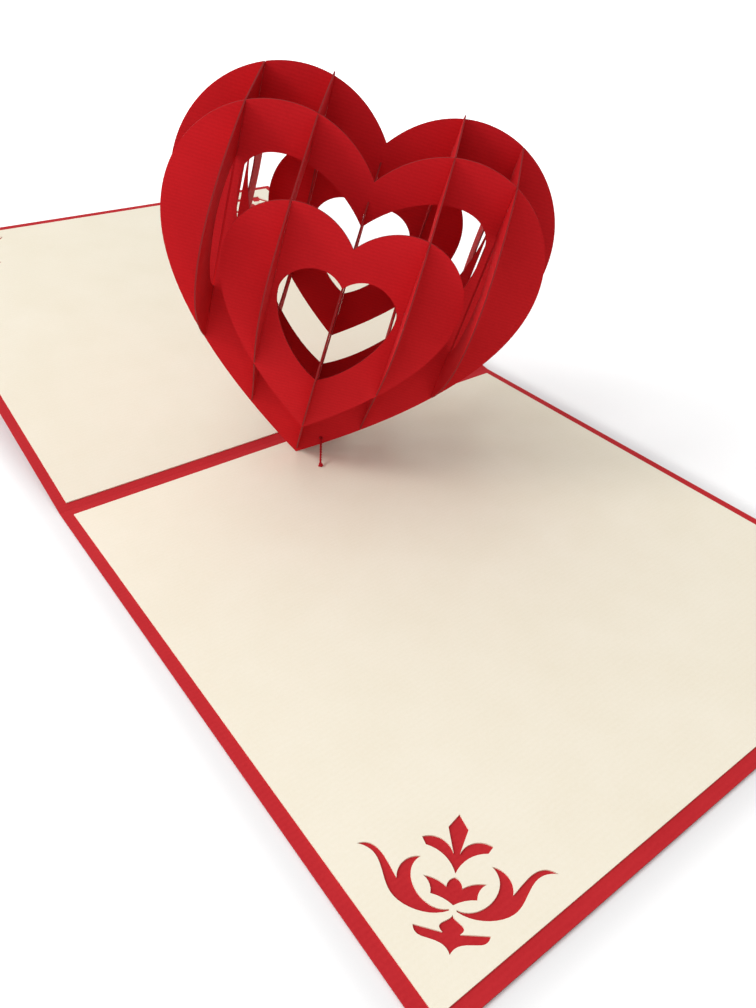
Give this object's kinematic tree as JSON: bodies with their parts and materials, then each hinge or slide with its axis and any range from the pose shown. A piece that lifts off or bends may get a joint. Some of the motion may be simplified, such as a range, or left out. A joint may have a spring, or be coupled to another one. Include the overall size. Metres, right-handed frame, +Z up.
{
  "type": "greeting card",
  "caption": "Folded pop-up greeting card with cream inner panels, cut-out corner ornaments and an interlocking sliced paper heart that stands over the spine when the card is open.",
  "frame": {"origin": "middle of the underside of the front leaf, which lies on the table", "axes": "+X along the spine, +Y from the front leaf's free edge over the spine to the back leaf, +Z up"},
  "size_m": [0.15, 0.2974, 0.1005],
  "materials": {
    "red_cover": "matte",
    "cream_panel": "matte",
    "red_slices": "matte",
    "red_thread": "matte"
  },
  "bodies": {
    "root": {"cover": "red_cover", "front_panel": "cream_panel", "back_panel": "cream_panel", "front_small_heart": "red_slices", "front_large_heart": "red_slices", "rear_large_heart": "red_slices", "rear_small_heart": "red_slices", "left_outer_rib": "red_slices", "left_inner_rib": "red_slices", "centre_rib": "red_slices", "right_inner_rib": "red_slices", "right_outer_rib": "red_slices", "thread": "red_thread"}
  },
  "joints": []
}
